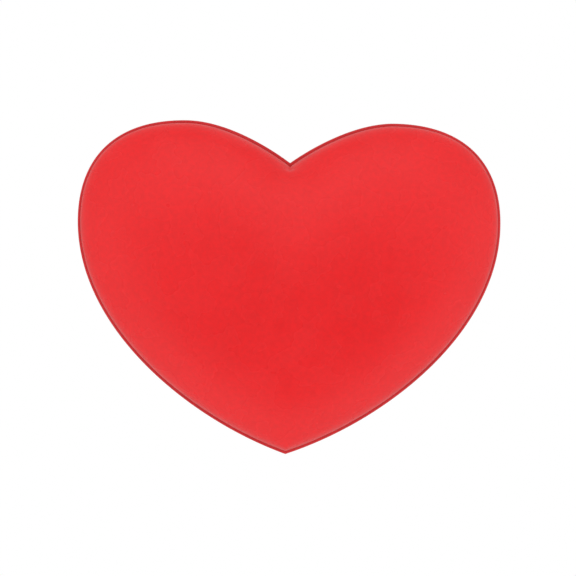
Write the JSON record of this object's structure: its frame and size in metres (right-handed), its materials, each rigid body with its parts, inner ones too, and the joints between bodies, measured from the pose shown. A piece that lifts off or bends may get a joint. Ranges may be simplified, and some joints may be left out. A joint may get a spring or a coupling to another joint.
{
  "type": "racket vibration dampener",
  "caption": "Small heart-shaped string dampener: a puffed soft silicone heart that turns on a round grooved rubber plug, which presses in between the two centre strings of a racket.",
  "frame": {"origin": "on the axis that the heart turns on, in the middle of the string groove", "axes": "+Z towards the heart's notch and lobes, -Y out of the heart's puffed face, +Y out of the plug's rear face, +X to the right as seen from the front"},
  "size_m": [0.035, 0.0156, 0.0275],
  "materials": {
    "cap_silicone": "satin moulded silicone",
    "core_gel": "soft translucent gel",
    "back_silicone": "matt moulded silicone",
    "stud_nylon": "natural nylon",
    "plug_rubber": "matt moulded rubber"
  },
  "bodies": {
    "plug": {"string_plug": "plug_rubber"},
    "heart": {"heart_cap": "cap_silicone", "damping_core": "core_gel", "heart_back": "back_silicone", "swivel_stud": "stud_nylon"}
  },
  "joints": [
    {"name": "heart_turn", "type": "hinge", "parent": "plug", "child": "heart", "pos_m": [0, 0, 0], "axis": [0, -1, 0], "continuous": true}
  ]
}
